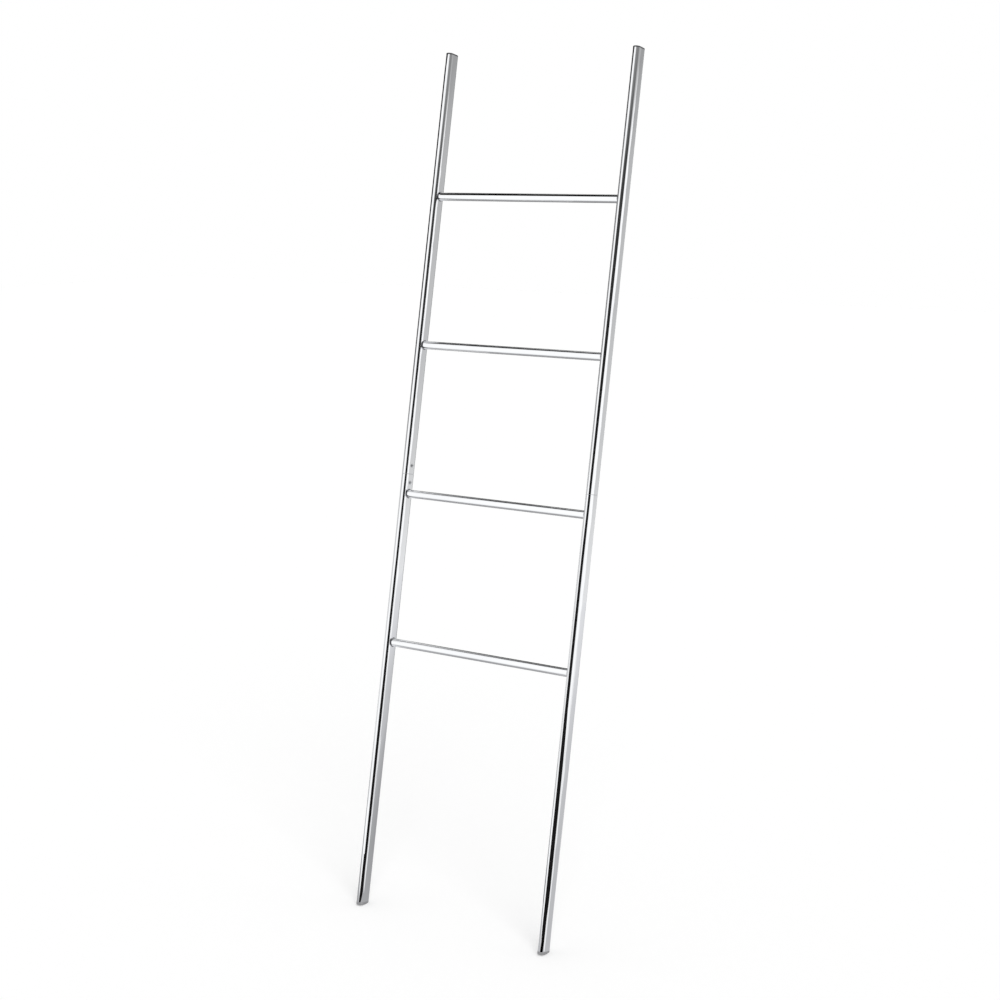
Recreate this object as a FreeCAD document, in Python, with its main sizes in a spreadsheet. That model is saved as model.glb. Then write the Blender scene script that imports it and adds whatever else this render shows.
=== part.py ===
import FreeCAD, Part
import Sketcher
import os

# Leaning towel ladder. Two oval stiles, each split near mid-height and carried
# across the split by a screwed sleeve, hold four round rungs. X runs along the
# rungs, Y from the user to the wall, Z up from the floor.

SIZES = {
    # The ladder as a whole. Heights and lengths are measured up the stile from its sole.
    "stile_length": 1700,
    "overall_width": 440,
    "lean": 11,
    "bottom_rung_height": 524,
    "top_rung_drop": 285,
    # Stile tube, a flat-sided oval.
    "stile_depth": 30,
    "stile_width": 15,
    "stile_wall": 1.2,
    "edge_break": 0.3,
    # Rung tube and the weld that closes its end.
    "rung_diameter": 16,
    "rung_wall": 1.0,
    "rung_stick": 1.5,
    "rung_hole_clearance": 0.1,
    "weld_leg": 1.5,
    "weld_hollow": 3,
    "weld_root": 1.0,
    # Joint sleeve across the split in each stile.
    "seam_gap": 0.2,
    "sleeve_length": 56,
    "sleeve_wall": 2.0,
    "sleeve_clearance": 0.15,
    "sleeve_rung_gap": 3,
    # Button-head joint screws.
    "screw_edge": 11,
    "screw_diameter": 4,
    "screw_reach": 8,
    "screw_hole_clearance": 0.2,
    "thread_clearance": 0.05,
    "head_diameter": 7.6,
    "head_height": 2.2,
    "head_crown": 4.2,
    "head_dome": 3,
    "socket_flats": 2.5,
    "socket_depth": 1.3,
    # Plastic plugs in the stile ends.
    "cap_thickness": 2.5,
    "cap_edge_radius": 0.8,
    "foot_thickness": 5,
    "foot_edge_radius": 0.6,
    "plug_length": 18,
    "plug_wall": 1.6,
    "plug_clearance": 0.1,
    "fin_height": 0.9,
    "fin_thickness": 1.0,
    "fin_start": 4,
    "fin_pitch": 4.5,
    "fin_count": 3,
}

os.makedirs("parts", exist_ok=True)
doc = FreeCAD.newDocument("towel_ladder")
sheet = doc.addObject("Spreadsheet::Sheet", "Sizes")
for row, (alias, value) in enumerate(SIZES.items(), 1):
    sheet.set(f"A{row}", alias)
    sheet.set(f"B{row}", str(value))
    sheet.setAlias(f"B{row}", alias)
doc.recompute()

# Lengths that several pieces share.
BORE_DEPTH = "(Sizes.stile_depth - 2 * Sizes.stile_wall)"
BORE_WIDTH = "(Sizes.stile_width - 2 * Sizes.stile_wall)"
STILE_OFFSET = "(Sizes.overall_width - Sizes.stile_width) / 2"
INNER_FACE = "Sizes.stile_width / 2"
RUNG_NAMES = ["bottom_rung", "lower_rung", "upper_rung", "top_rung"]
RUNG_SPAN = "(Sizes.stile_length - Sizes.top_rung_drop - Sizes.bottom_rung_height)"
RUNG_HEIGHTS = [
    f"(Sizes.bottom_rung_height + {n} * {RUNG_SPAN} / {len(RUNG_NAMES) - 1})"
    for n in range(len(RUNG_NAMES))
]
SEAM_HEIGHT = (
    f"({RUNG_HEIGHTS[1]} + Sizes.rung_diameter / 2"
    " + Sizes.sleeve_rung_gap + Sizes.sleeve_length / 2)"
)
SCREW_OFFSET = "(Sizes.sleeve_length / 2 - Sizes.screw_edge)"
SCREW_HEIGHTS = {
    "lower": f"({SEAM_HEIGHT} - {SCREW_OFFSET})",
    "upper": f"({SEAM_HEIGHT} + {SCREW_OFFSET})",
}

# The frame that leans. Its Z runs up the stiles from the sole, and it is set
# forward so that the ladder's box is centred over the origin.
FRONT_REACH = (
    "(Sizes.foot_edge_radius * (1 - sin(Sizes.lean))"
    " + (Sizes.stile_depth / 2 - Sizes.foot_edge_radius) * cos(Sizes.lean))"
)
BACK_REACH = (
    "(Sizes.cap_edge_radius + (Sizes.stile_length - Sizes.cap_edge_radius) * sin(Sizes.lean)"
    " + (Sizes.stile_depth / 2 - Sizes.cap_edge_radius) * cos(Sizes.lean))"
)
lean_frame = doc.addObject("App::Placement", "lean_frame")
lean_frame.setExpression(
    "Placement",
    f"placement(vector(0; ({FRONT_REACH} - {BACK_REACH}) / 2; 0);"
    " rotation(vector(-1; 0; 0); Sizes.lean))",
)

# Each stile: its place across the ladder, and the half turn that brings its
# inner side, modelled towards +X, to face the other stile.
SIDES = {"left": (f"-{STILE_OFFSET}", 0), "right": (STILE_OFFSET, 180)}

# Numbers that sketch constraints use: the axes count down from -1, with the origin
# as the first point of the X axis, and the points of a curve count up from 1.
X_AXIS, Y_AXIS = range(-1, -3, -1)
ORIGIN = X_AXIS
START, END, CENTRE = range(1, 4)

# A sketch is drawn roughly at this size, and its dimensions then pull it to size.
ROUGH = 5.0
CIRCLE_NORMAL = FreeCAD.Vector(0, 0, 1)

parts = []


def point(x, y):
    return FreeCAD.Vector(x, y, 0)


def new_body(label, x="0", height="0", turn=0):
    """Start a piece at its place on the leaning frame, turned about the stile's axis."""
    body = doc.addObject("PartDesign::Body", label)
    body.Label = label
    body.setExpression(
        "Placement",
        f"lean_frame.Placement * placement(vector({x}; 0; {height}); rotation(vector(0; 0; 1); {turn}))",
    )
    parts.append(body)
    return body


def origin_feature(body, role):
    return next(f for f in body.Origin.OriginFeatures if f.Role == role)


def new_sketch(body, role, offset="0"):
    """A sketch on one of the body's own planes, moved along that plane's normal."""
    sketch = body.newObject("Sketcher::SketchObject", "Sketch")
    sketch.AttachmentSupport = (origin_feature(body, role), [""])
    sketch.MapMode = "FlatFace"
    sketch.setExpression("AttachmentOffset.Base.z", offset)
    return sketch


def fix(sketch, kind, *where):
    sketch.addConstraint(Sketcher.Constraint(kind, *where))


def bind(sketch, size, kind, *where):
    """A dimension that follows the sheet."""
    number = sketch.addConstraint(Sketcher.Constraint(kind, *where, ROUGH))
    sketch.setExpression(f"Constraints[{number}]", size)


def draw_circle(sketch, diameter, height="0"):
    circle = sketch.addGeometry(Part.Circle(point(0, ROUGH), CIRCLE_NORMAL, ROUGH))
    fix(sketch, "PointOnObject", circle, CENTRE, Y_AXIS)
    bind(sketch, height, "DistanceY", ORIGIN, START, circle, CENTRE)
    bind(sketch, diameter, "Diameter", circle)


def draw_oval(sketch, depth, width):
    """A flat-sided oval about the origin, its long way along the sketch's Y axis."""
    far = sketch.addGeometry(Part.Arc(point(ROUGH, ROUGH), point(0, 2 * ROUGH), point(-ROUGH, ROUGH)))
    flat = sketch.addGeometry(Part.LineSegment(point(-ROUGH, ROUGH), point(-ROUGH, -ROUGH)))
    near = sketch.addGeometry(Part.Arc(point(-ROUGH, -ROUGH), point(0, -2 * ROUGH), point(ROUGH, -ROUGH)))
    inner_flat = sketch.addGeometry(Part.LineSegment(point(ROUGH, -ROUGH), point(ROUGH, ROUGH)))
    loop = [far, flat, near, inner_flat]
    for curve, following in zip(loop, loop[1:] + loop[:1]):
        fix(sketch, "Tangent", curve, END, following, START)
    fix(sketch, "Equal", far, near)
    fix(sketch, "PointOnObject", far, CENTRE, Y_AXIS)
    fix(sketch, "Symmetric", far, CENTRE, near, CENTRE, ORIGIN, START)
    bind(sketch, f"{width} / 2", "Radius", far)
    bind(sketch, f"({depth} - {width}) / 2", "DistanceY", ORIGIN, START, far, CENTRE)


def draw_outline(sketch, corners):
    """Straight lines from corner to corner and back to the first."""
    lines = [
        sketch.addGeometry(Part.LineSegment(corner, following))
        for corner, following in zip(corners, corners[1:] + corners[:1])
    ]
    for line, following in zip(lines, lines[1:] + lines[:1]):
        fix(sketch, "Coincident", line, END, following, START)
    return lines


def pad(body, sketch, length, symmetric=False, reverse=False):
    feature = body.newObject("PartDesign::Pad", "Pad")
    feature.Profile = sketch
    feature.setExpression("Length", length)
    feature.SideType = "Symmetric" if symmetric else "One side"
    feature.Reversed = reverse
    doc.recompute()
    return feature


def cut(body, sketch, depth, symmetric=False, reverse=False):
    """Cut a sketch into the body, and make sure that it took something away."""
    before = body.Shape.Volume
    feature = body.newObject("PartDesign::Pocket", "Pocket")
    feature.Profile = sketch
    feature.setExpression("Length", depth)
    feature.SideType = "Symmetric" if symmetric else "One side"
    feature.Reversed = reverse
    doc.recompute()
    if body.Shape.Volume >= before:
        raise RuntimeError(f"{body.Label}: a cut took nothing away")
    return feature


def revolve(body, sketch):
    feature = body.newObject("PartDesign::Revolution", "Revolution")
    feature.Profile = sketch
    feature.ReferenceAxis = (sketch, ["H_Axis"])
    feature.Angle = 360
    doc.recompute()
    return feature


def ease(body, kind, edges, property_name, size):
    """Round or chamfer some edges of the body as it now stands."""
    base = body.Tip
    names = [
        f"Edge{number}"
        for number, edge in enumerate(base.Shape.Edges, 1)
        if any(edge.isSame(chosen) for chosen in edges)
    ]
    feature = body.newObject(f"PartDesign::{kind}", kind)
    feature.Base = (base, names)
    feature.setExpression(property_name, size)
    doc.recompute()
    return feature


def flat_faces(body, way):
    """The body's flat faces that look more up (+1) or down (-1) than sideways."""
    planes = [face for face in body.Tip.Shape.Faces if isinstance(face.Surface, Part.Plane)]
    normals = [face.normalAt(0, 0) for face in planes]
    return [
        face
        for face, normal in zip(planes, normals)
        if normal.z * way > max(abs(normal.x), abs(normal.y))
    ]


def highest(faces):
    return max(faces, key=lambda face: face.CenterOfMass.z)


def lowest(faces):
    return min(faces, key=lambda face: face.CenterOfMass.z)


def stile(label, side, bottom, top, rung_heights, screw_height):
    """A length of oval tube with its ends deburred, drilled on its inner side only."""
    x, turn = SIDES[side]
    body = new_body(label, x, turn=turn)
    section = new_sketch(body, "XY_Plane", bottom)
    draw_oval(section, "Sizes.stile_depth", "Sizes.stile_width")
    draw_oval(section, BORE_DEPTH, BORE_WIDTH)
    pad(body, section, f"{top} - {bottom}")

    rims = [highest(flat_faces(body, 1)), lowest(flat_faces(body, -1))]
    outer_edges = [edge for rim in rims for edge in rim.OuterWire.Edges]
    ease(body, "Chamfer", outer_edges, "Size", "Sizes.edge_break")

    holes = new_sketch(body, "YZ_Plane")
    for height in rung_heights:
        draw_circle(holes, "Sizes.rung_diameter + 2 * Sizes.rung_hole_clearance", height)
    draw_circle(holes, "Sizes.screw_diameter + 2 * Sizes.screw_hole_clearance", screw_height)
    cut(body, holes, "Sizes.stile_width", reverse=True)


def rung(label, height):
    """A plain tube that passes through the inner wall of both stiles."""
    body = new_body(label, height=height)
    section = new_sketch(body, "YZ_Plane")
    draw_circle(section, "Sizes.rung_diameter")
    draw_circle(section, "Sizes.rung_diameter - 2 * Sizes.rung_wall")
    length = "Sizes.overall_width - 2 * (Sizes.stile_width - Sizes.stile_wall - Sizes.rung_stick)"
    pad(body, section, length, symmetric=True)


def weld(label, side, height):
    """A hollow-faced bead round the rung, its root shaped to the stile's oval."""
    x, turn = SIDES[side]
    body = new_body(label, x, height, turn)
    section = new_sketch(body, "XZ_Plane")
    root = section.addGeometry(Part.LineSegment(point(0, ROUGH), point(0, 2 * ROUGH)))
    toe = section.addGeometry(Part.LineSegment(point(0, 2 * ROUGH), point(ROUGH, 2 * ROUGH)))
    hollow = point(ROUGH, ROUGH) * 1.3
    face = section.addGeometry(Part.Arc(point(ROUGH, 2 * ROUGH), hollow, point(2 * ROUGH, ROUGH)))
    seat = section.addGeometry(Part.LineSegment(point(2 * ROUGH, ROUGH), point(0, ROUGH)))
    loop = [root, toe, face, seat]
    for curve, following in zip(loop, loop[1:] + loop[:1]):
        fix(section, "Coincident", curve, END, following, START)
    fix(section, "Vertical", root)
    fix(section, "Horizontal", toe)
    fix(section, "Horizontal", seat)
    bind(section, f"{INNER_FACE} - Sizes.weld_root", "DistanceX", ORIGIN, START, root, START)
    bind(section, "Sizes.rung_diameter / 2", "DistanceY", ORIGIN, START, root, START)
    bind(section, "Sizes.weld_leg", "DistanceY", root, START, root, END)
    bind(section, INNER_FACE, "DistanceX", ORIGIN, START, toe, END)
    bind(section, f"{INNER_FACE} + Sizes.weld_leg", "DistanceX", ORIGIN, START, face, END)
    bind(section, "Sizes.weld_hollow", "Radius", face)
    revolve(body, section)

    stile_section = new_sketch(body, "XY_Plane")
    draw_oval(stile_section, "Sizes.stile_depth", "Sizes.stile_width")
    past_the_bead = "2 * (Sizes.rung_diameter + 2 * Sizes.weld_leg)"
    cut(body, stile_section, past_the_bead, symmetric=True)


def joint_sleeve(label, side):
    """A short oval tube inside the stile, across the seam, tapped on its inner side."""
    x, turn = SIDES[side]
    body = new_body(label, x, SEAM_HEIGHT, turn)
    depth = f"({BORE_DEPTH} - 2 * Sizes.sleeve_clearance)"
    width = f"({BORE_WIDTH} - 2 * Sizes.sleeve_clearance)"
    section = new_sketch(body, "XY_Plane")
    draw_oval(section, depth, width)
    draw_oval(section, f"({depth} - 2 * Sizes.sleeve_wall)", f"({width} - 2 * Sizes.sleeve_wall)")
    pad(body, section, "Sizes.sleeve_length", symmetric=True)

    threads = new_sketch(body, "YZ_Plane")
    for height in (SCREW_OFFSET, f"-{SCREW_OFFSET}"):
        draw_circle(threads, "Sizes.screw_diameter + 2 * Sizes.thread_clearance", height)
    cut(body, threads, "Sizes.stile_width", reverse=True)


def joint_screw(label, side, height):
    """A button-head screw through the stile's inner wall into the sleeve."""
    x, turn = SIDES[side]
    inward = 1 if turn == 0 else -1
    body = new_body(label, f"{x} + {inward} * {INNER_FACE}", height, turn)
    profile = new_sketch(body, "XZ_Plane")
    tip = profile.addGeometry(Part.LineSegment(point(-2 * ROUGH, 0), point(-2 * ROUGH, ROUGH)))
    shank = profile.addGeometry(Part.LineSegment(point(-2 * ROUGH, ROUGH), point(0, ROUGH)))
    seat = profile.addGeometry(Part.LineSegment(point(0, ROUGH), point(0, 2 * ROUGH)))
    bulge = point(0.6 * ROUGH, 1.8 * ROUGH)
    dome = profile.addGeometry(Part.Arc(point(ROUGH, ROUGH), bulge, point(0, 2 * ROUGH)))
    crown = profile.addGeometry(Part.LineSegment(point(ROUGH, ROUGH), point(ROUGH, 0)))
    axis = profile.addGeometry(Part.LineSegment(point(ROUGH, 0), point(-2 * ROUGH, 0)))
    fix(profile, "Coincident", tip, END, shank, START)
    fix(profile, "Coincident", shank, END, seat, START)
    fix(profile, "Coincident", seat, END, dome, END)
    fix(profile, "Coincident", dome, START, crown, START)
    fix(profile, "Coincident", crown, END, axis, START)
    fix(profile, "Coincident", axis, END, tip, START)
    for line in (tip, seat, crown):
        fix(profile, "Vertical", line)
    for line in (shank, axis):
        fix(profile, "Horizontal", line)
    fix(profile, "PointOnObject", axis, START, X_AXIS)
    fix(profile, "PointOnObject", seat, START, Y_AXIS)
    bind(profile, "Sizes.screw_reach", "DistanceX", shank, START, shank, END)
    bind(profile, "Sizes.screw_diameter / 2", "DistanceY", tip, START, tip, END)
    bind(profile, "Sizes.head_diameter / 2", "DistanceY", ORIGIN, START, seat, END)
    bind(profile, "Sizes.head_height", "DistanceX", ORIGIN, START, crown, START)
    bind(profile, "Sizes.head_crown / 2", "DistanceY", crown, END, crown, START)
    bind(profile, "Sizes.head_dome", "Radius", dome)
    revolve(body, profile)

    socket = new_sketch(body, "YZ_Plane", "Sizes.head_height")
    rim = socket.addGeometry(Part.Circle(point(0, 0), CIRCLE_NORMAL, ROUGH), True)
    fix(socket, "Coincident", rim, CENTRE, ORIGIN, START)
    side_count = 6
    turns = [FreeCAD.Rotation(CIRCLE_NORMAL, n * 360 / side_count) for n in range(side_count)]
    sides = draw_outline(socket, [turn.multVec(point(0, ROUGH)) for turn in turns])
    for line in sides:
        fix(socket, "PointOnObject", line, START, rim)
    for line in sides[1:]:
        fix(socket, "Equal", sides[0], line)
    fix(socket, "PointOnObject", sides[0], START, Y_AXIS)
    bind(socket, "Sizes.socket_flats / sqrt(3)", "Radius", rim)
    cut(body, socket, "Sizes.socket_depth")


def finned_stem(body, base, reverse):
    """The hollow stem of an end plug, with thin fins that grip the tube's bore."""
    fin_depth = f"({BORE_DEPTH} - 2 * Sizes.plug_clearance)"
    fin_width = f"({BORE_WIDTH} - 2 * Sizes.plug_clearance)"
    stem_depth = f"({fin_depth} - 2 * Sizes.fin_height)"
    stem_width = f"({fin_width} - 2 * Sizes.fin_height)"
    hollow = (f"({stem_depth} - 2 * Sizes.plug_wall)", f"({stem_width} - 2 * Sizes.plug_wall)")
    section = new_sketch(body, "XY_Plane", base)
    draw_oval(section, stem_depth, stem_width)
    draw_oval(section, *hollow)
    pad(body, section, "Sizes.plug_length", reverse=reverse)

    way = -1 if reverse else 1
    fin_section = new_sketch(body, "XY_Plane", f"{base} + {way} * Sizes.fin_start")
    draw_oval(fin_section, fin_depth, fin_width)
    draw_oval(fin_section, *hollow)
    fin = pad(body, fin_section, "Sizes.fin_thickness", reverse=reverse)

    fins = body.newObject("PartDesign::LinearPattern", "LinearPattern")
    fins.Originals = [fin]
    fins.Direction = (origin_feature(body, "Z_Axis"), [""])
    fins.Reversed = reverse
    fins.setExpression("Length", "(Sizes.fin_count - 1) * Sizes.fin_pitch")
    fins.setExpression("Occurrences", "Sizes.fin_count")
    body.Tip = fins
    doc.recompute()


def top_cap(label, side):
    """A plug whose flange lies flush with the stile and closes its upper end."""
    body = new_body(label, SIDES[side][0], "(Sizes.stile_length - Sizes.cap_thickness)")
    flange = new_sketch(body, "XY_Plane")
    draw_oval(flange, "Sizes.stile_depth", "Sizes.stile_width")
    pad(body, flange, "Sizes.cap_thickness")
    ease(body, "Fillet", highest(flat_faces(body, 1)).Edges, "Radius", "Sizes.cap_edge_radius")
    finned_stem(body, "0", reverse=True)


def foot(label, side):
    """A plug with a thick flange, cut level at the rear where it stands on the floor."""
    body = new_body(label, SIDES[side][0])
    flange = new_sketch(body, "XY_Plane")
    draw_oval(flange, "Sizes.stile_depth", "Sizes.stile_width")
    pad(body, flange, "Sizes.foot_thickness")

    wedge = new_sketch(body, "YZ_Plane")
    sole, rear, level = draw_outline(wedge, [point(0, 0), point(2 * ROUGH, 0), point(2 * ROUGH, ROUGH)])
    fix(wedge, "Coincident", sole, START, ORIGIN, START)
    fix(wedge, "Horizontal", sole)
    fix(wedge, "Vertical", rear)
    bind(wedge, "Sizes.stile_depth", "DistanceX", sole, START, sole, END)
    bind(wedge, "Sizes.stile_depth * tan(Sizes.lean)", "DistanceY", rear, START, rear, END)
    cut(body, wedge, "2 * Sizes.stile_width", symmetric=True)

    edges = [edge for face in flat_faces(body, -1) for edge in face.Edges]
    outer = [edge for edge in edges if sum(edge.isSame(other) for other in edges) == 1]
    ease(body, "Fillet", outer, "Radius", "Sizes.foot_edge_radius")
    finned_stem(body, "Sizes.foot_thickness", reverse=False)


SEAM_HALF = "Sizes.seam_gap / 2"

for side in SIDES:
    stile(
        f"{side}_lower_stile",
        side,
        "Sizes.foot_thickness",
        f"({SEAM_HEIGHT} - {SEAM_HALF})",
        RUNG_HEIGHTS[:2],
        SCREW_HEIGHTS["lower"],
    )
    stile(
        f"{side}_upper_stile",
        side,
        f"({SEAM_HEIGHT} + {SEAM_HALF})",
        "(Sizes.stile_length - Sizes.cap_thickness)",
        RUNG_HEIGHTS[2:],
        SCREW_HEIGHTS["upper"],
    )
    joint_sleeve(f"{side}_joint_sleeve", side)
    for place, height in SCREW_HEIGHTS.items():
        joint_screw(f"{side}_{place}_joint_screw", side, height)
    top_cap(f"{side}_top_cap", side)
    foot(f"{side}_foot", side)

for name, height in zip(RUNG_NAMES, RUNG_HEIGHTS):
    rung(name, height)
    for side in SIDES:
        weld(f"{name}_{side}_weld", side, height)

doc.recompute()
failed = [item.Label for item in doc.Objects if {"Invalid", "Error"} & set(item.State)]
failed += [part.Label for part in parts if part.Shape.isNull() or not part.Shape.isValid()]
failed += [part.Label for part in parts if len(part.Shape.Solids) != 1]
if failed:
    raise RuntimeError(f"not built: {sorted(set(failed))}")

for part in parts:
    part.Shape.exportStep(f"parts/{part.Label}.step")
    box = part.Shape.BoundBox
    print(
        f"{part.Label}: volume {part.Shape.Volume:.0f} mm3,"
        f" x {box.XMin:.2f} to {box.XMax:.2f},"
        f" y {box.YMin:.2f} to {box.YMax:.2f},"
        f" z {box.ZMin:.2f} to {box.ZMax:.2f}"
    )
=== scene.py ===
import math

import bmesh
import bpy
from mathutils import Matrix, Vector


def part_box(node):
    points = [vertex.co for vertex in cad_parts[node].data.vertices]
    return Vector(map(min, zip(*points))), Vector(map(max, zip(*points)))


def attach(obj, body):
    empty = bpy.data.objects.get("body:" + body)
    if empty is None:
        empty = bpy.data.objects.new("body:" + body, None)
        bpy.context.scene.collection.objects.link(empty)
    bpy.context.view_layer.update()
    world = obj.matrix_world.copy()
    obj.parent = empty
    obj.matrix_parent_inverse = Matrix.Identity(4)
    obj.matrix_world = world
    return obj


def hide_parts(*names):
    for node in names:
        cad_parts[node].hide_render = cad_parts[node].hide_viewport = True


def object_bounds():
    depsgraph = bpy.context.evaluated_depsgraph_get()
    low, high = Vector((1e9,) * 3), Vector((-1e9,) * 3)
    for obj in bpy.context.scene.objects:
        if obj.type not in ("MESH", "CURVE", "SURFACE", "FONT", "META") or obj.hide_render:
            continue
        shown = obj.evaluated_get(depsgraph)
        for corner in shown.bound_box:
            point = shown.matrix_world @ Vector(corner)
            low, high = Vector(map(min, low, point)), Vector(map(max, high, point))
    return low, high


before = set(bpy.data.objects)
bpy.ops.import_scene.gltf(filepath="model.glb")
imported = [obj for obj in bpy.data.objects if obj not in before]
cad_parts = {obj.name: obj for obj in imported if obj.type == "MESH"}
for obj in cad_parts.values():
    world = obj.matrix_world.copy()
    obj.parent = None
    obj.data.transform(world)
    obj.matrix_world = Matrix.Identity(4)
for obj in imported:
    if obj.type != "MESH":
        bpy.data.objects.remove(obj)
cad_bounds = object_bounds()

# Stiles. Each is two lengths of flat-sided oval steel tube, its flats faintly crowned, cut
# square and deburred, with a hairline seam between them. The inner side is drilled for the
# rungs and the joint screws, and the whole tube is polished and chromed.
stile_depth = 0.030
stile_width = 0.015
stile_wall = 0.0012
stile_rim = 0.0003
seam_rim = 0.0005
flat_crown = 0.00018
crown_strips = 10
stile_x = 0.2125
inner_face_x = stile_x - stile_width / 2
foot_height = 0.005
seam_height = 0.860
seam_gap = 0.0002
cap_seat = 1.6975
round_sides = 96
rung_radius = 0.008
rung_clearance = 0.0001
screw_hole_radius = 0.0022
screw_offset = 0.017
corner_angle = 60
round_angle = 40
level_normal = 0.9
touching = 1e-6
chrome_bright = (0.90, 0.91, 0.925)
chrome_dull = (0.86, 0.87, 0.89)
chrome_polish = 0.02
drawn_lines = 0.004
rungs = ("bottom_rung", "lower_rung", "upper_rung", "top_rung")
sides = {"left": -1, "right": 1}


def middle(node):
    """The middle of a model node's box."""
    low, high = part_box(node)
    return (low + high) / 2


rung_line = middle("top_rung") - middle("bottom_rung")
lean = math.atan2(rung_line.y, rung_line.z)
sole_y = middle("bottom_rung").y - middle("bottom_rung").z * math.tan(lean)
rung_heights = {rung: middle(rung).z / math.cos(lean) for rung in rungs}


def take(piece):
    """Make one piece the only selected and active object."""
    bpy.ops.object.select_all(action="DESELECT")
    piece.select_set(True)
    bpy.context.view_layer.objects.active = piece


def settle(piece):
    """Put the object's place, turn and scale into its mesh."""
    take(piece)
    bpy.ops.object.transform_apply(location=True, rotation=True, scale=True)


def lean_back(piece):
    """Tip a piece that was modelled on an upright ladder to the real one's lean."""
    piece.rotation_euler = (-lean, 0, 0)
    piece.location = (0, sole_y, 0)
    settle(piece)


def started(name):
    """The primitive that was just added, named and with its place in its mesh."""
    piece = bpy.context.object
    piece.name = name
    piece.data.name = name
    settle(piece)
    return piece


def pick(piece, kind, wanted):
    """In edit mode, select only the verts, edges or faces that pass a test."""
    bpy.ops.mesh.select_mode(type={"verts": "VERT", "edges": "EDGE", "faces": "FACE"}[kind])
    bpy.ops.mesh.select_all(action="DESELECT")
    mesh = bmesh.from_edit_mesh(piece.data)
    for item in getattr(mesh, kind):
        item.select_set(bool(wanted(item)))
    mesh.select_flush_mode()
    bmesh.update_edit_mesh(piece.data)


def apply_modifier(piece, kind, **settings):
    """Add a modifier with its settings and apply it."""
    take(piece)
    modifier = piece.modifiers.new(kind.title(), kind)
    for name, value in settings.items():
        setattr(modifier, name, value)
    bpy.ops.object.modifier_apply(modifier=modifier.name)


def smooth(piece, angle):
    """Shade round surfaces smooth, keep flats flat and leave real corners sharp."""
    take(piece)
    bpy.ops.object.shade_smooth_by_angle(angle=math.radians(angle))
    apply_modifier(piece, "WEIGHTED_NORMAL", keep_sharp=True)


def pull_oval(piece, x):
    """In edit mode, part the halves of a round piece into an oval, and crown its two flats."""
    straight = (stile_depth - stile_width) / 2
    for way in (-1, 1):
        pick(piece, "verts", lambda vert: vert.co.y * way > 0)
        bpy.ops.transform.translate(value=(0, way * straight, 0))
    pick(piece, "edges", lambda edge: edge.verts[0].co.y * edge.verts[1].co.y < 0)
    bpy.ops.mesh.subdivide(number_cuts=crown_strips - 1)
    flat_reach = straight + stile_width / 2 * math.sin(math.pi / round_sides)
    fall = flat_crown / (stile_width / 2)
    bpy.ops.mesh.select_all(action="SELECT")
    bpy.ops.transform.resize(value=(1 - fall, 1, 1), center_override=(x, 0, 0))
    for row in range(1, crown_strips):
        share = 2 * row / crown_strips - 1
        rise = (1 - fall * share**2) / (1 - fall)
        pick(piece, "verts", lambda vert: abs(vert.co.y - flat_reach * share) < touching)
        bpy.ops.transform.resize(value=(rise, 1, 1), center_override=(x, 0, 0))


def drill(piece, x, height, radius, length, corners):
    """Cut a hole along X, centred on a place up the ladder, with a number of corners."""
    bpy.ops.mesh.primitive_cylinder_add(
        vertices=corners,
        radius=radius,
        depth=length,
        location=(x, 0, height),
        rotation=(0, math.pi / 2, 0),
    )
    cutter = started("drill")
    apply_modifier(piece, "BOOLEAN", object=cutter, operation="DIFFERENCE")
    bpy.data.objects.remove(cutter)


def stile(name, side, bottom, top, holes):
    """One length of stile tube, rounded at the seam, deburred, drilled and leaned back."""
    bpy.ops.object.select_all(action="DESELECT")
    bpy.ops.mesh.primitive_cylinder_add(
        vertices=round_sides,
        radius=stile_width / 2,
        depth=top - bottom,
        end_fill_type="NOTHING",
        location=(side * stile_x, 0, (top + bottom) / 2),
        rotation=(0, 0, math.pi / round_sides),
    )
    tube = started(name)
    bpy.ops.object.mode_set(mode="EDIT")
    pull_oval(tube, side * stile_x)
    bpy.ops.object.mode_set(mode="OBJECT")
    apply_modifier(tube, "SOLIDIFY", thickness=stile_wall, offset=-1)
    bpy.ops.object.mode_set(mode="EDIT")
    pick(
        tube,
        "edges",
        lambda edge: abs(edge.verts[0].co.z - seam_height) < seam_gap
        and sum(abs(face.normal.z) > level_normal for face in edge.link_faces) == 1,
    )
    bpy.ops.mesh.bevel(offset=seam_rim, segments=4, affect="EDGES")
    bpy.ops.object.mode_set(mode="OBJECT")
    corner = math.radians(corner_angle)
    apply_modifier(tube, "BEVEL", width=stile_rim, segments=3, angle_limit=corner)
    for height, radius in holes:
        drill(tube, side * inner_face_x, height, radius, stile_width / 2, round_sides)
    bpy.ops.object.mode_set(mode="EDIT")
    bpy.ops.mesh.select_all(action="SELECT")
    bpy.ops.mesh.dissolve_degenerate(threshold=touching)
    bpy.ops.object.mode_set(mode="OBJECT")
    smooth(tube, round_angle)
    lean_back(tube)
    return tube


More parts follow.
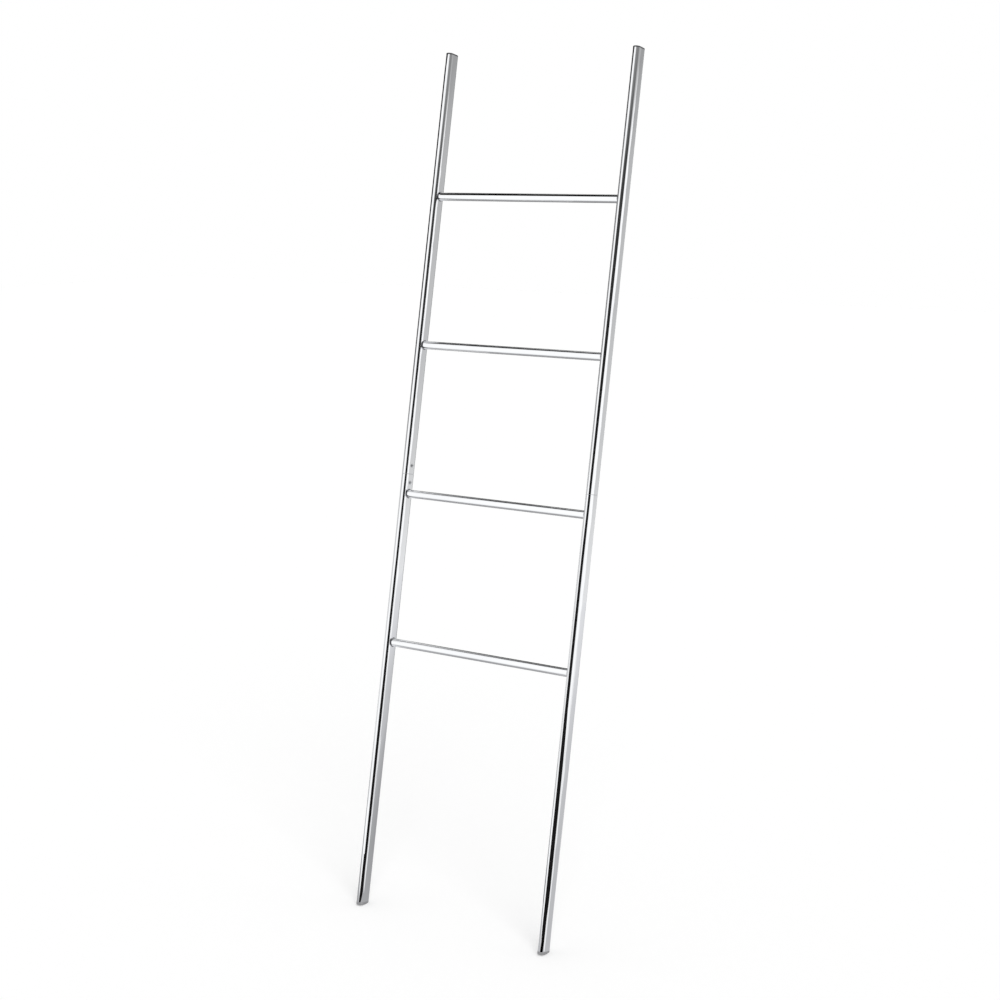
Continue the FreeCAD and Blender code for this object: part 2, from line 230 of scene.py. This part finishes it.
class Shade:
    """One output of a shader node. Arithmetic on it adds Math nodes to its material."""

    def __init__(self, socket):
        self.socket = socket

    @classmethod
    def node(cls, tree, kind, settings, inputs, output=0):
        """Add a node, set it up, then set or link its inputs by name or number."""
        node = tree.nodes.new("ShaderNode" + kind)
        for name, value in settings.items():
            if name == "stops":
                ramp = node.color_ramp
                while len(ramp.elements) < len(value):
                    ramp.elements.new(1.0)
                for element, (position, colour) in zip(ramp.elements, value):
                    element.position = position
                    element.color = colour
            else:
                setattr(node, name, value)
        for name, value in inputs.items():
            if isinstance(value, cls):
                tree.links.new(value.socket, node.inputs[name])
            else:
                node.inputs[name].default_value = value
        return cls(node.outputs[output])

    def math(self, operation, first, second):
        tree = self.socket.id_data
        return Shade.node(tree, "Math", {"operation": operation}, {0: first, 1: second})

    def __add__(self, other):
        return self.math("ADD", self, other)

    def __radd__(self, other):
        return self.math("ADD", other, self)

    def __sub__(self, other):
        return self.math("SUBTRACT", self, other)

    def __rsub__(self, other):
        return self.math("SUBTRACT", other, self)

    def __mul__(self, other):
        return self.math("MULTIPLY", self, other)

    def step(self, low, high):
        """0 below low, 1 above high, and a smooth rise between."""
        settings = {"interpolation_type": "SMOOTHSTEP"}
        inputs = {"Value": self, "From Min": low, "From Max": high}
        return Shade.node(self.socket.id_data, "MapRange", settings, inputs)


def new_material(name):
    """A material with its Principled shader, and its node tree."""
    material = bpy.data.materials.new(name)
    material.use_nodes = True
    return material, material.node_tree, material.node_tree.nodes["Principled BSDF"]


def noise(tree, place, scale, detail, stretch=(1, 1, 1), turn=(0, 0, 0)):
    """Cloudy noise on the piece's own coordinates, turned and then drawn out."""
    turned = Shade.node(tree, "Mapping", {}, {"Vector": place, "Rotation": turn})
    drawn = Shade.node(tree, "Mapping", {}, {"Vector": turned, "Scale": stretch})
    return Shade.node(tree, "TexNoise", {}, {"Vector": drawn, "Scale": scale, "Detail": detail})


def blend_colours(tree, amount, first, second):
    """The first colour where the amount is 0, the second where it is 1."""
    inputs = {"Factor": amount, 6: (*first, 1), 7: (*second, 1)}
    return Shade.node(tree, "Mix", {"data_type": "RGBA"}, inputs, output=2)


def feed(tree, shader, tint, roughness, bump):
    """Let patterns set a Principled shader's colour, roughness and relief."""
    for socket, value in (("Base Color", tint), ("Roughness", roughness), ("Normal", bump)):
        tree.links.new(value.socket, shader.inputs[socket])


def chrome(name, bright, dull, polish, turn, lines):
    """Bright chrome over polished steel: a faint haze, wiped patches and polishing lines."""
    material, tree, shader = new_material(name)
    place = Shade.node(tree, "TexCoord", {}, {}, output="Object")
    haze = noise(tree, place, 9.0, 3.0).step(0.35, 0.75)
    wipe = noise(tree, place, 34.0, 4.0, (1, 1, 0.25), turn).step(0.5, 0.8)
    polish_lines = noise(tree, place, 900.0, 2.0, (1, 1, lines), turn)
    ripple = noise(tree, place, 55.0, 1.0, (1, 1, 0.35), turn)
    tint = blend_colours(tree, haze * 0.7 + wipe * 0.3, bright, dull)
    roughness = polish + haze * 0.02 + wipe * 0.025 + polish_lines * 0.015
    height = ripple + polish_lines * 0.01
    bump = Shade.node(tree, "Bump", {}, {"Strength": 0.5, "Distance": 0.0004, "Height": height})
    shader.inputs["Metallic"].default_value = 1.0
    feed(tree, shader, tint, roughness, bump)
    return material


along_stile = (lean, 0, 0)
stile_chrome = chrome(
    "stile_chrome", chrome_bright, chrome_dull, chrome_polish, along_stile, drawn_lines
)


def finish_piece(piece, node, material):
    """Give a piece its material, and let it stand for its node of the model."""
    piece.data.materials.clear()
    piece.data.materials.append(material)
    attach(piece, "root")
    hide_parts(node)


rung_hole = rung_radius + rung_clearance
lower_holes = [(rung_heights[rung], rung_hole) for rung in rungs[:2]]
lower_holes.append((seam_height - screw_offset, screw_hole_radius))
upper_holes = [(rung_heights[rung], rung_hole) for rung in rungs[2:]]
upper_holes.append((seam_height + screw_offset, screw_hole_radius))
lengths = {
    "lower": (foot_height, seam_height - seam_gap / 2, lower_holes),
    "upper": (seam_height + seam_gap / 2, cap_seat, upper_holes),
}
for side_name, side in sides.items():
    for length_name, (bottom, top, holes) in lengths.items():
        node = f"{side_name}_{length_name}_stile"
        tube = stile(f"{node}_tube", side, bottom, top, holes)
        finish_piece(tube, node, stile_chrome)

# Joint sleeves. A short oval tube of zinc-plated steel slides into both lengths of a stile
# and carries them across the seam. Only a hairline of it can be seen, so the model's own
# solid stays.


def zinc(name):
    """Zinc plate: a grey, faintly blue metal with a fine frosted grain."""
    material, tree, shader = new_material(name)
    place = Shade.node(tree, "TexCoord", {}, {}, output="Object")
    grain = noise(tree, place, 700.0, 3.0)
    patches = noise(tree, place, 60.0, 2.0).step(0.35, 0.7)
    tint = blend_colours(tree, patches, (0.60, 0.62, 0.66), (0.52, 0.53, 0.55))
    bump = Shade.node(tree, "Bump", {}, {"Strength": 0.2, "Distance": 0.0001, "Height": grain})
    shader.inputs["Metallic"].default_value = 1.0
    roughness = 0.28 + grain * 0.15
    feed(tree, shader, tint, roughness, bump)
    return material


sleeve_zinc = zinc("sleeve_zinc")
for side_name in sides:
    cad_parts[f"{side_name}_joint_sleeve"].material_slots[0].material = sleeve_zinc

# Rungs. Round chromed steel tube, 16 mm across, that reaches through the inner wall of
# both stiles and is welded there.
rung_wall = 0.001
rung_stick = 0.0015
rung_reach = inner_face_x + stile_wall + rung_stick

along_rung = (0, math.pi / 2, 0)
rung_chrome = chrome(
    "rung_chrome", chrome_bright, chrome_dull, chrome_polish, along_rung, drawn_lines
)
bpy.ops.object.select_all(action="DESELECT")
bpy.ops.mesh.primitive_cylinder_add(
    vertices=round_sides,
    radius=rung_radius,
    depth=2 * rung_reach,
    end_fill_type="NOTHING",
    rotation=(0, math.pi / 2, 0),
)
plain_rung = started("plain_rung")
apply_modifier(plain_rung, "SOLIDIFY", thickness=rung_wall, offset=-1)
smooth(plain_rung, round_angle)


def copy_to(piece, name, x, height, turn=0):
    """A copy with a mesh of its own, at a place up the ladder, turned about its stile."""
    copied = piece.copy()
    copied.data = piece.data.copy()
    copied.name = name
    copied.data.name = name
    bpy.context.scene.collection.objects.link(copied)
    copied.location = (x, 0, height)
    copied.rotation_euler = (0, 0, turn)
    settle(copied)
    return copied


for rung in rungs:
    tube = copy_to(plain_rung, f"{rung}_tube", 0, rung_heights[rung])
    lean_back(tube)
    finish_piece(tube, rung, rung_chrome)
bpy.data.objects.remove(plain_rung)

# Rung welds. A small bead runs round each rung where it enters the stile, is dressed to a
# hollow fillet and is chromed with the rest. Its root fills the gap where the oval falls away.
# Its chrome is duller than the tubes' and is also painted much darker, as painted shade in the
# crease where the rung meets the stile.
weld_leg = 0.0015
weld_hollow = 0.0030
weld_root = 0.001
weld_steps = 7
weld_facing = math.radians(225)
bead_lump_size = 0.004
bead_lump_height = 0.00022
bead_round_angle = 50
# Painted shade: the weld's chrome gets a dark colour that stands for the shade in the joint's
# crease.
weld_chrome_painted_shade = chrome(
    "weld_chrome_painted_shade", (0.26, 0.26, 0.28), (0.19, 0.19, 0.21), 0.3, along_rung, 0.2
)

half_chord = weld_leg / math.sqrt(2)
hollow_sweep = 2 * math.asin(half_chord / weld_hollow)
hollow_reach = math.sqrt(weld_hollow**2 - half_chord**2) / math.sqrt(2)
hollow_x = weld_leg / 2 + hollow_reach
hollow_r = rung_radius + weld_leg / 2 + hollow_reach
weld_profile = [(-weld_root, rung_radius), (-weld_root, rung_radius + weld_leg)]
for n in range(weld_steps + 1):
    angle = weld_facing - hollow_sweep / 2 + hollow_sweep * n / weld_steps
    across = hollow_x + weld_hollow * math.cos(angle)
    weld_profile.append((across, hollow_r + weld_hollow * math.sin(angle)))

bpy.ops.object.select_all(action="DESELECT")
bpy.ops.mesh.primitive_circle_add(
    vertices=round_sides,
    radius=rung_radius,
    location=(-weld_root, 0, 0),
    rotation=(0, math.pi / 2, 0),
)
plain_weld = started("plain_weld")
bpy.ops.object.mode_set(mode="EDIT")
bpy.ops.mesh.select_all(action="SELECT")


def grow_ring(start, end):
    """In edit mode, extrude the selected ring along X and to a new radius."""
    bpy.ops.mesh.extrude_edges_move()
    bpy.ops.transform.translate(value=(end[0] - start[0], 0, 0))
    share = end[1] / start[1]
    bpy.ops.transform.resize(value=(1, share, share), center_override=(end[0], 0, 0))


for start, end in zip(weld_profile, weld_profile[1:]):
    grow_ring(start, end)
bpy.ops.mesh.select_all(action="SELECT")
bpy.ops.mesh.region_to_loop()
bpy.ops.mesh.bridge_edge_loops()
bpy.ops.mesh.select_all(action="SELECT")
bpy.ops.mesh.normals_make_consistent(inside=False)
bpy.ops.object.mode_set(mode="OBJECT")

bead_lumps = bpy.data.textures.new("bead_lumps", "CLOUDS")
bead_lumps.noise_scale = bead_lump_size
for rung in rungs:
    for side_name, side in sides.items():
        node = f"{rung}_{side_name}_weld"
        turn = 0 if side < 0 else math.pi
        height = rung_heights[rung]
        bead = copy_to(plain_weld, f"{node}_bead", side * inner_face_x, height, turn)
        apply_modifier(
            bead,
            "DISPLACE",
            texture=bead_lumps,
            texture_coords="GLOBAL",
            strength=bead_lump_height,
            mid_level=0.5,
        )
        smooth(bead, bead_round_angle)
        lean_back(bead)
        finish_piece(bead, node, weld_chrome_painted_shade)
bpy.data.objects.remove(plain_weld)

# Joint screws. A chromed button-head screw with a hexagon socket passes through the stile's
# inner wall into the sleeve, one above and one below each seam.
screw_radius = 0.002
screw_reach = 0.008
head_radius = 0.0038
head_height = 0.0022
crown_radius = 0.0021
dome_radius = 0.003
dome_steps = 8
key_size = 0.0025
key_sides = 6
socket_radius = key_size / math.sqrt(3)
socket_depth = 0.0013
socket_edge = 0.00012
socket_corner_angle = 50
screw_sides = 48

screw_chrome = chrome(
    "screw_chrome", (0.66, 0.67, 0.69), (0.56, 0.57, 0.59), 0.09, along_rung, 1.0
)
dome_chord = Vector((head_height, crown_radius)) - Vector((0, head_radius))
dome_mid = Vector((head_height, crown_radius + head_radius)) / 2
dome_drop = math.sqrt(dome_radius**2 - dome_chord.length_squared / 4)
dome_centre = dome_mid + Vector((dome_chord.y, -dome_chord.x)).normalized() * dome_drop
rim_angle = math.atan2(head_radius - dome_centre.y, -dome_centre.x)
crown_angle = math.atan2(crown_radius - dome_centre.y, head_height - dome_centre.x)
screw_profile = [(-screw_reach, screw_radius), (0, screw_radius)]
for n in range(dome_steps + 1):
    angle = rim_angle + (crown_angle - rim_angle) * n / dome_steps
    across = dome_centre.x + dome_radius * math.cos(angle)
    screw_profile.append((across, dome_centre.y + dome_radius * math.sin(angle)))

bpy.ops.object.select_all(action="DESELECT")
bpy.ops.mesh.primitive_circle_add(
    vertices=screw_sides,
    radius=screw_radius,
    fill_type="NGON",
    location=(-screw_reach, 0, 0),
    rotation=(0, math.pi / 2, 0),
)
plain_screw = started("plain_screw")
bpy.ops.object.mode_set(mode="EDIT")
pick(plain_screw, "edges", lambda edge: True)
bpy.ops.mesh.region_to_loop()
for start, end in zip(screw_profile, screw_profile[1:]):
    grow_ring(start, end)
bpy.ops.mesh.edge_face_add()
bpy.ops.mesh.select_all(action="SELECT")
bpy.ops.mesh.normals_make_consistent(inside=False)
bpy.ops.object.mode_set(mode="OBJECT")
drill(plain_screw, head_height, 0, socket_radius, 2 * socket_depth, key_sides)
corner = math.radians(socket_corner_angle)
apply_modifier(plain_screw, "BEVEL", width=socket_edge, segments=2, angle_limit=corner)
smooth(plain_screw, round_angle)

for side_name, side in sides.items():
    for place, way in (("lower", -1), ("upper", 1)):
        node = f"{side_name}_{place}_joint_screw"
        turn = 0 if side < 0 else math.pi
        height = seam_height + way * screw_offset
        screw = copy_to(plain_screw, f"{node}_head", side * inner_face_x, height, turn)
        lean_back(screw)
        finish_piece(screw, node, screw_chrome)
bpy.data.objects.remove(plain_screw)

# Top caps. A moulded plastic plug closes each stile's upper end. Its lip lies flush with
# the tube, is rounded over at the top, and a finned stem grips the bore.
cap_thickness = 0.0025
cap_round = 0.0008
plug_length = 0.018
plug_inset = 0.0022
stem_half_width = stile_width / 2 - plug_inset
stem_half_depth = stile_depth / 2 - plug_inset
fin_count = 3
fin_height = 0.0009
fin_start = 0.004
fin_pitch = 0.0045
fin_thickness = 0.001
plastic_round_angle = 35


def moulded_plastic(name, colour, worn, gloss):
    """Moulded plastic: a fine spark texture, slightly paler where it has been rubbed."""
    material, tree, shader = new_material(name)
    place = Shade.node(tree, "TexCoord", {}, {}, output="Object")
    spark = noise(tree, place, 2600.0, 2.0)
    patches = noise(tree, place, 190.0, 4.0).step(0.4, 0.75)
    tint = blend_colours(tree, patches, colour, worn)
    bump = Shade.node(tree, "Bump", {}, {"Strength": 0.35, "Distance": 0.0001, "Height": spark})
    roughness = gloss + patches * 0.12 + spark * 0.1
    feed(tree, shader, tint, roughness, bump)
    return material


def oval_plug(name, height):
    """A plain oval block, as deep and wide as the stile, standing on z = 0."""
    bpy.ops.object.select_all(action="DESELECT")
    bpy.ops.mesh.primitive_cylinder_add(
        vertices=round_sides,
        radius=stile_width / 2,
        depth=height,
        location=(0, 0, height / 2),
        rotation=(0, 0, math.pi / round_sides),
    )
    block = started(name)
    bpy.ops.object.mode_set(mode="EDIT")
    pull_oval(block, 0)
    return block


def grow_stem(piece, z, way):
    """In edit mode, grow the finned stem out of the flat face at a height."""
    pick(
        piece,
        "faces",
        lambda face: face.normal.z * way > level_normal
        and abs(face.calc_center_median().z - z) < touching,
    )
    bpy.ops.mesh.inset(thickness=plug_inset)
    grown = 0
    for fin in range(fin_count):
        fin_base = fin_start + fin * fin_pitch
        for reach, spread in ((fin_base, fin_height), (fin_base + fin_thickness, -fin_height)):
            bpy.ops.mesh.extrude_region_move()
            bpy.ops.transform.translate(value=(0, 0, way * (reach - grown)))
            grown = reach
            bpy.ops.mesh.extrude_region_move()
            bpy.ops.transform.resize(
                value=(1 + spread / stem_half_width, 1 + spread / stem_half_depth, 1)
            )
    bpy.ops.mesh.extrude_region_move()
    bpy.ops.transform.translate(value=(0, 0, way * (plug_length - grown)))


cap_plastic = moulded_plastic("cap_plastic", (0.065, 0.065, 0.07), (0.095, 0.095, 0.10), 0.38)
plain_cap = oval_plug("plain_cap", cap_thickness)
pick(
    plain_cap,
    "edges",
    lambda edge: all(vert.co.z > cap_thickness - touching for vert in edge.verts),
)
bpy.ops.mesh.bevel(offset=cap_round, segments=5, affect="EDGES")
grow_stem(plain_cap, 0, -1)
bpy.ops.object.mode_set(mode="OBJECT")
smooth(plain_cap, plastic_round_angle)
for side_name, side in sides.items():
    node = f"{side_name}_top_cap"
    cap = copy_to(plain_cap, f"{node}_plug", side * stile_x, cap_seat)
    lean_back(cap)
    finish_piece(cap, node, cap_plastic)
bpy.data.objects.remove(plain_cap)

# Feet. A thicker plastic plug in each lower end. The front half of its sole is square to
# the stile and the rear half is cut level, so it stands flat at the ladder's lean.
foot_round = 0.0006
foot_plastic = moulded_plastic("foot_plastic", (0.31, 0.31, 0.32), (0.37, 0.37, 0.38), 0.25)
plain_foot = oval_plug("plain_foot", foot_height)
bpy.ops.mesh.select_all(action="SELECT")
bpy.ops.mesh.bisect(
    plane_co=(0, 0, 0),
    plane_no=(0, -math.sin(lean), math.cos(lean)),
    use_fill=True,
    clear_inner=True,
)
pick(
    plain_foot,
    "edges",
    lambda edge: len(edge.link_faces) == 2
    and sum(face.normal.z < -level_normal for face in edge.link_faces) == 1,
)
bpy.ops.mesh.bevel(offset=foot_round, segments=4, affect="EDGES")
grow_stem(plain_foot, foot_height, 1)
bpy.ops.object.mode_set(mode="OBJECT")
smooth(plain_foot, plastic_round_angle)
for side_name, side in sides.items():
    node = f"{side_name}_foot"
    foot = copy_to(plain_foot, f"{node}_plug", side * stile_x, 0)
    lean_back(foot)
    finish_piece(foot, node, foot_plastic)
bpy.data.objects.remove(plain_foot)

# Studio floor. A white sweep that keeps the ladder's soft shadow. Polished metal sees it
# with painted light in front of the ladder, and with painted shade behind it.
floor_size = 30.0
shade_centre = (-0.8, 0.6, 0)
shade_tones = ((0.9, 0.37), (1.25, 0.54), (1.65, 0.62), (2.2, 0.75), (3.3, 0.86))
shade_reach = 4.0
shade_blue = 1.02
front_painted_light_tone = 1.05
front_edge = (-0.8, -0.4)
floor_colour = 0.8
floor_lift = 0.27
bpy.ops.object.select_all(action="DESELECT")
bpy.ops.mesh.primitive_plane_add(size=floor_size, location=(0, 0, cad_bounds[0].z))
floor = started("studio_floor")
floor_material, tree, shader = new_material("floor_paper")
output = tree.nodes["Material Output"]
tree.nodes.remove(shader)
place = Shade.node(tree, "TexCoord", {}, {}, output="Object")
offset = Shade.node(tree, "VectorMath", {"operation": "SUBTRACT"}, {0: place, 1: shade_centre})
reach = Shade.node(tree, "VectorMath", {"operation": "LENGTH"}, {0: offset}, output="Value")
# Painted shade: metal sees the floor darker the nearer it lies to a point behind the ladder on
# its left.
stops = [
    (distance / shade_reach, (tone, tone, tone * shade_blue, 1))
    for distance, tone in shade_tones
]
shaded = Shade.node(tree, "ValToRGB", {"stops": stops}, {"Fac": reach * (1 / shade_reach)})
forward = Shade.node(tree, "SeparateXYZ", {}, {0: place}, output="Y")
# Painted light: metal sees the floor in front of the ladder a little brighter than white.
front = 1 - forward.step(*front_edge)
inputs = {"Factor": front, 6: shaded, 7: (front_painted_light_tone, front_painted_light_tone, front_painted_light_tone, 1)}
painted_light_and_shade_tone = Shade.node(tree, "Mix", {"data_type": "RGBA"}, inputs, output=2)
paper_colour = (floor_colour, floor_colour, floor_colour, 1)
paper = Shade.node(tree, "BsdfDiffuse", {}, {"Color": paper_colour})
lift = Shade.node(tree, "Emission", {}, {"Color": (1, 1, 1, 1), "Strength": floor_lift})
seen = Shade.node(tree, "AddShader", {}, {0: paper, 1: lift})
mirrored = Shade.node(tree, "Emission", {}, {"Color": painted_light_and_shade_tone, "Strength": 1.0})
camera_ray = Shade.node(tree, "LightPath", {}, {}, output="Is Camera Ray")
glossy_ray = Shade.node(tree, "LightPath", {}, {}, output="Is Glossy Ray")
lit = Shade.node(tree, "MixShader", {}, {0: camera_ray, 1: paper, 2: seen})
surface = Shade.node(tree, "MixShader", {}, {0: glossy_ray, 1: lit, 2: mirrored})
tree.links.new(surface.socket, output.inputs["Surface"])
floor.data.materials.append(floor_material)

# Studio surround. White all round, with boards that only polished metal sees: soft boxes at
# the front left and the right, black about the camera and overhead, grey on the left and
# behind, and black and white sheets on the floor beside the stiles.
ambient = 0.7
back_distance = 2.8
left_distance = 3.4
rear_distance = 1.6
box_distance = 2.6
world = bpy.data.worlds.new("white_surround")
bpy.context.scene.world = world
world.use_nodes = True
tree = world.node_tree
background = tree.nodes["Background"]
shown = sum(
    Shade.node(tree, "LightPath", {}, {}, output=f"Is {kind} Ray")
    for kind in ("Camera", "Glossy", "Transmission")
)
strength = ambient + shown.step(0.0, 1.0) * (1 - ambient)
background.inputs["Color"].default_value = (1, 1, 1, 1)
tree.links.new(strength.socket, background.inputs["Strength"])


def show_in_metal(sheet, tones):
    """Let only polished metal see a sheet, in tones that change with height."""
    bottom = tones[0][0]
    top = tones[-1][0]
    material, tree, shader = new_material(sheet.name)
    output = tree.nodes["Material Output"]
    tree.nodes.remove(shader)
    place = Shade.node(tree, "TexCoord", {}, {}, output="Object")
    height = Shade.node(tree, "SeparateXYZ", {}, {0: place}, output="Z")
    stops = [((z - bottom) / (top - bottom), (tone, tone, tone, 1)) for z, tone in tones]
    inputs = {"Fac": (height - bottom) * (1 / (top - bottom))}
    tone = Shade.node(tree, "ValToRGB", {"stops": stops}, inputs)
    glow = Shade.node(tree, "Emission", {}, {"Color": tone, "Strength": 1.0})
    tree.links.new(glow.socket, output.inputs["Surface"])
    sheet.data.materials.append(material)
    sheet.visible_camera = False
    sheet.visible_diffuse = False
    sheet.visible_shadow = False
    sheet.visible_transmission = False


def bent_board(name, edges, tones):
    """A sheet through pairs of floor points, each pair raised to its own height."""
    bpy.ops.object.select_all(action="DESELECT")
    bpy.ops.mesh.primitive_grid_add(x_subdivisions=1, y_subdivisions=len(edges) - 1, size=1)
    sheet = started(name)
    corners = sorted(sheet.data.vertices, key=lambda vert: (round(vert.co.y, 4), vert.co.x))
    for (height, *ends), pair in zip(edges, zip(corners[::2], corners[1::2])):
        for end, corner in zip(ends, pair):
            corner.co = (*end, height)
    show_in_metal(sheet, tones)


def board(name, start, end, bottom, top, tones):
    """An upright board between two floor points. Its tones run from its bottom to its top."""
    bent_board(name, ((bottom, start, end), (top, start, end)), tones)


def around(azimuth, distance):
    """A floor point round the ladder: azimuth 0 is in front, 90 on its right."""
    angle = math.radians(azimuth)
    return (distance * math.sin(angle), -distance * math.cos(angle))


camera_edges = (
    (0.0, (-0.05, -1.0), (0.6, -0.08)),
    (0.3, (-0.08, -0.85), (0.45, -0.12)),
    (0.45, (-0.11, -0.64), (0.32, -0.155)),
    (0.72, (-0.06, -0.63), (0.35, -0.13)),
    (0.95, (0.13, -0.9), (0.36, -0.04)),
    (1.25, (0.2, -0.95), (0.6, 0.05)),
    (1.5, (0.18, -1.05), (0.95, 0.2)),
    (1.78, (0.17, -1.05), (1.0, 0.25)),
    (2.0, (0.42, -1.0), (1.0, 0.25)),
    (2.5, (0.45, -1.0), (1.0, 0.25)),
)
camera_tones = (
    (0.0, 0.01),
    (1.1, 0.015),
    (1.62, 0.05),
    (1.74, 0.14),
    (1.85, 0.24),
    (2.05, 0.3),
)
bent_board("camera_black", camera_edges, camera_tones)
back_tones = (
    (0.0, 0.86),
    (0.16, 0.80),
    (0.385, 0.68),
    (0.87, 0.58),
    (1.45, 0.52),
    (1.6, 0.46),
    (1.78, 0.38),
    (3.0, 0.34),
)
back_starts = ((0.0, 141.2), (0.46, 142.3), (1.07, 143.9), (1.6, 145.2), (3.0, 145.2))
back_end = around(179, back_distance)
back_edges = [(height, around(start, back_distance), back_end) for height, start in back_starts]
bent_board("back_right_grey", back_edges, back_tones)
left_tones = ((0.2, 0.8), (0.6, 0.72), (0.95, 0.6), (1.3, 0.42), (3.0, 0.3))
left_ends = (around(-48, left_distance), around(-170, left_distance))
board("left_grey", *left_ends, 0.0, 3.0, left_tones)
rear_ends = (around(181, rear_distance), around(221, rear_distance))
board("rear_black", *rear_ends, 0.0, 2.2, ((0.0, 0.02), (2.2, 0.05)))
near_left_tones = ((0.7, 0.75), (0.9, 0.45), (1.1, 0.13), (1.3, 0.02), (1.66, 0.0))
near_left_edges = (
    (0.66, (-0.335, -0.064), (-0.335, 0.13)),
    (1.0, (-0.335, -0.071), (-0.335, 0.19)),
    (1.66, (-0.335, 0.057), (-0.335, 0.322)),
)
bent_board("near_left_grey", near_left_edges, near_left_tones)
board("left_toe_black", (-0.226, -0.29), (-0.07, -0.185), 0.0, 0.1, ((0.0, 0.01), (0.1, 0.01)))
box_tones = ((0.0, 1.1), (3.5, 1.1))
box_ends = (around(-47, box_distance), around(-2, box_distance))
board("front_left_box", *box_ends, 0.0, 3.5, box_tones)
right_tones = ((0.0, 1.1), (1.6, 1.1), (1.8, 0.5), (2.05, 0.33), (3.0, 0.28))
right_start = around(78, back_distance)
right_edges = [(height, right_start, around(end, back_distance)) for height, end in back_starts]
bent_board("right_box", right_edges, right_tones)
black = ((0.0, 0.0), (1.0, 0.0))
overhead_edges = ((1.84, (-1.2, -0.36), (0.3, -0.1)), (1.84, (-1.2, 0.42), (0.3, 0.42)))
bent_board("overhead_black", overhead_edges, black)
toe_edges = ((0.001, (0.19, -0.75), (0.6, -0.75)), (0.001, (0.19, -0.19), (0.6, -0.19)))
bent_board("right_floor_black", toe_edges, black)
white = ((0.0, 0.95), (1.0, 0.95))
between_edges = ((0.0005, (-0.15, -0.13), (0.2, -0.16)), (0.0005, (0.52, 0.7), (0.53, 0.7)))
bent_board("middle_floor_white", between_edges, white)
beside_edges = ((0.0005, (0.235, -0.16), (4.1, -1.2)), (0.0005, (2.41, 3.19), (4.6, 2.2)))
bent_board("right_floor_white", beside_edges, white)

# Lamp. One wide soft source at the upper right. It lights the plastic ends and casts the
# floor's shadow, and polished metal does not show it.
lamp_strength = 0.9
lamp_spread = math.radians(30)
lamp_aim = Vector((-0.6, 0.5, -0.9))
lamp = bpy.data.lights.new("key_lamp", "SUN")
lamp.energy = lamp_strength
lamp.angle = lamp_spread
key_lamp = bpy.data.objects.new("key_lamp", lamp)
bpy.context.scene.collection.objects.link(key_lamp)
key_lamp.rotation_euler = lamp_aim.to_track_quat("-Z", "Y").to_euler()
key_lamp.visible_glossy = False

# Camera. It stands in front of the ladder and to its right, at about shoulder height, and
# looks slightly down.
camera_place = (1.9430, -2.9273, 1.4562)
camera_turn = math.radians(33.457)
camera_dip = math.radians(9.055)
camera_sensor = 36.0
camera_lens = 66.6
camera_shift = -0.0427
camera = bpy.data.cameras.new("camera")
camera.sensor_width = camera_sensor
camera.lens = camera_lens
camera.shift_y = camera_shift
camera_object = bpy.data.objects.new("camera", camera)
bpy.context.scene.collection.objects.link(camera_object)
camera_object.location = camera_place
camera_object.rotation_euler = (math.pi / 2 - camera_dip, 0, camera_turn)
bpy.context.scene.camera = camera_object
bpy.context.scene.view_settings.view_transform = "Standard"
